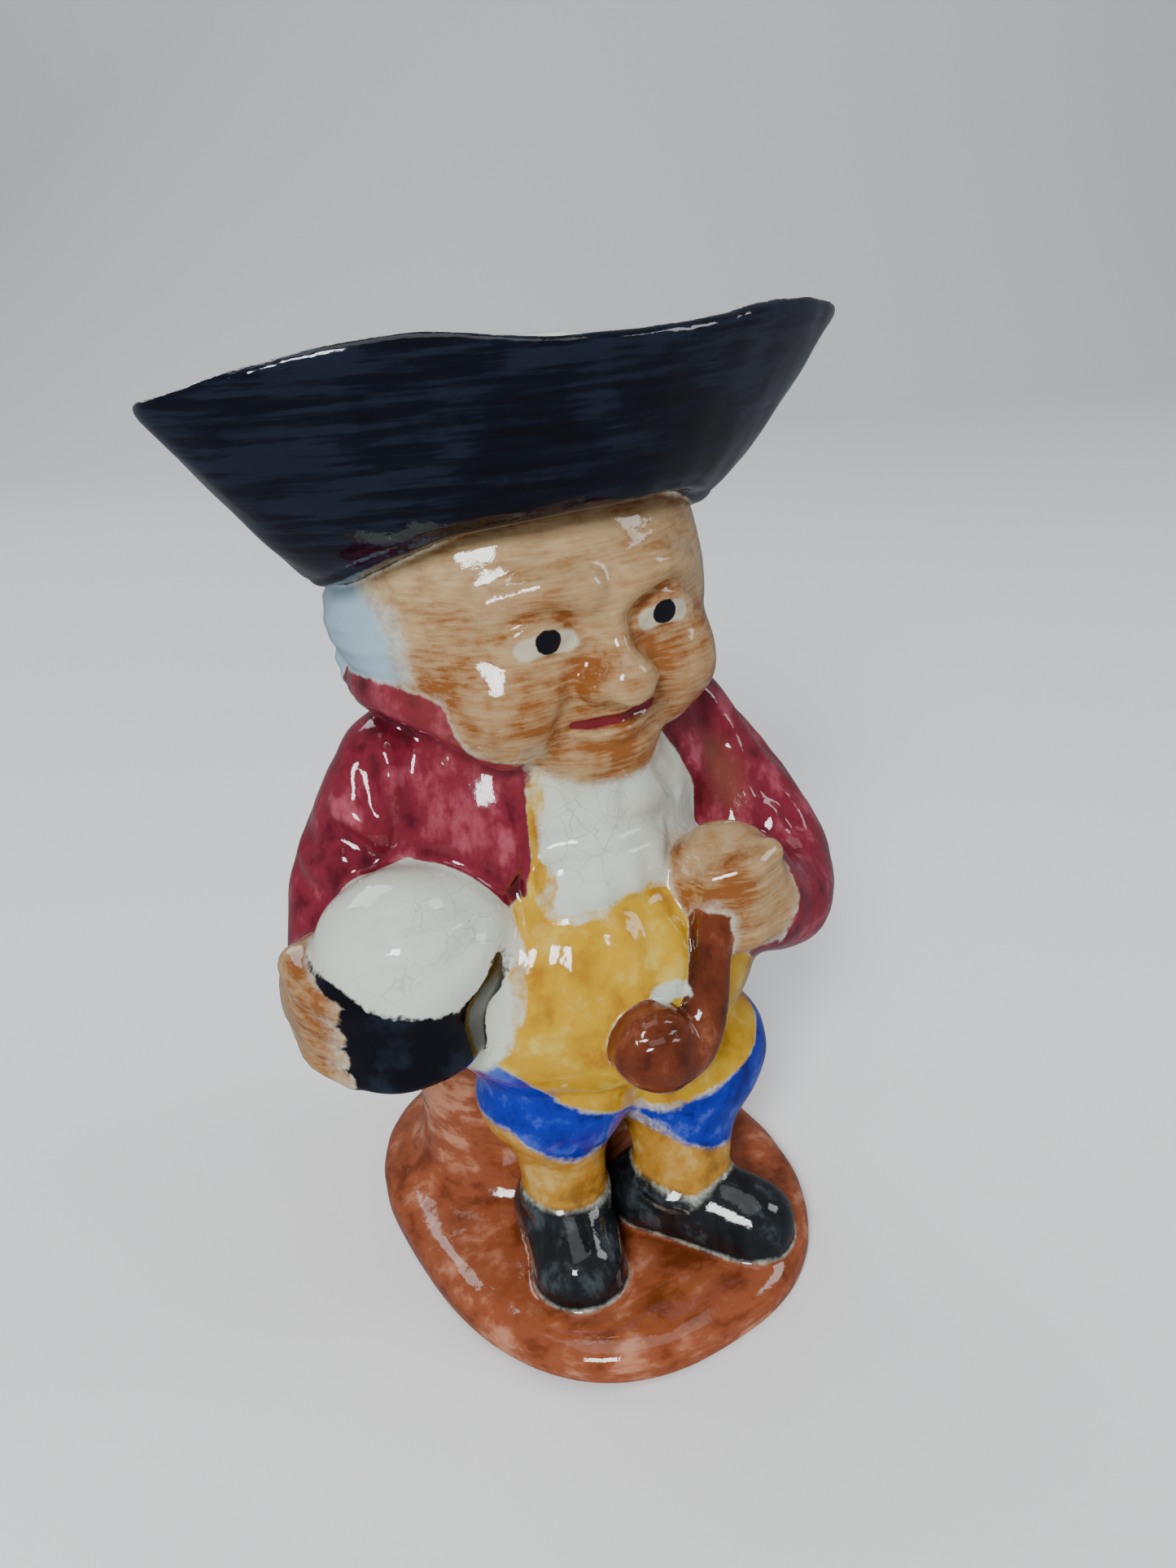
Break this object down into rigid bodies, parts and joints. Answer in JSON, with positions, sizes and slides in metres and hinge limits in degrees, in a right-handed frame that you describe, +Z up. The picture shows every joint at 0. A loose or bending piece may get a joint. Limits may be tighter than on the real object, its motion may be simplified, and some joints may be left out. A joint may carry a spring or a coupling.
{
  "type": "toby jug",
  "caption": "Hollow earthenware jug shaped as a stout man in a cocked hat, holding a mug and a pipe, with a loop handle behind and pouring corners in the hat.",
  "frame": {"origin": "on the flat underside, below the middle of the figure's body", "axes": "+Z up; the figure faces -Y, its right hand and the mug are at -X, and the handle is at +Y"},
  "size_m": [0.1004, 0.1044, 0.1532],
  "materials": {
    "glazed_earthenware": "gloss"
  },
  "bodies": {
    "root": {"jug": "glazed_earthenware"}
  },
  "joints": []
}
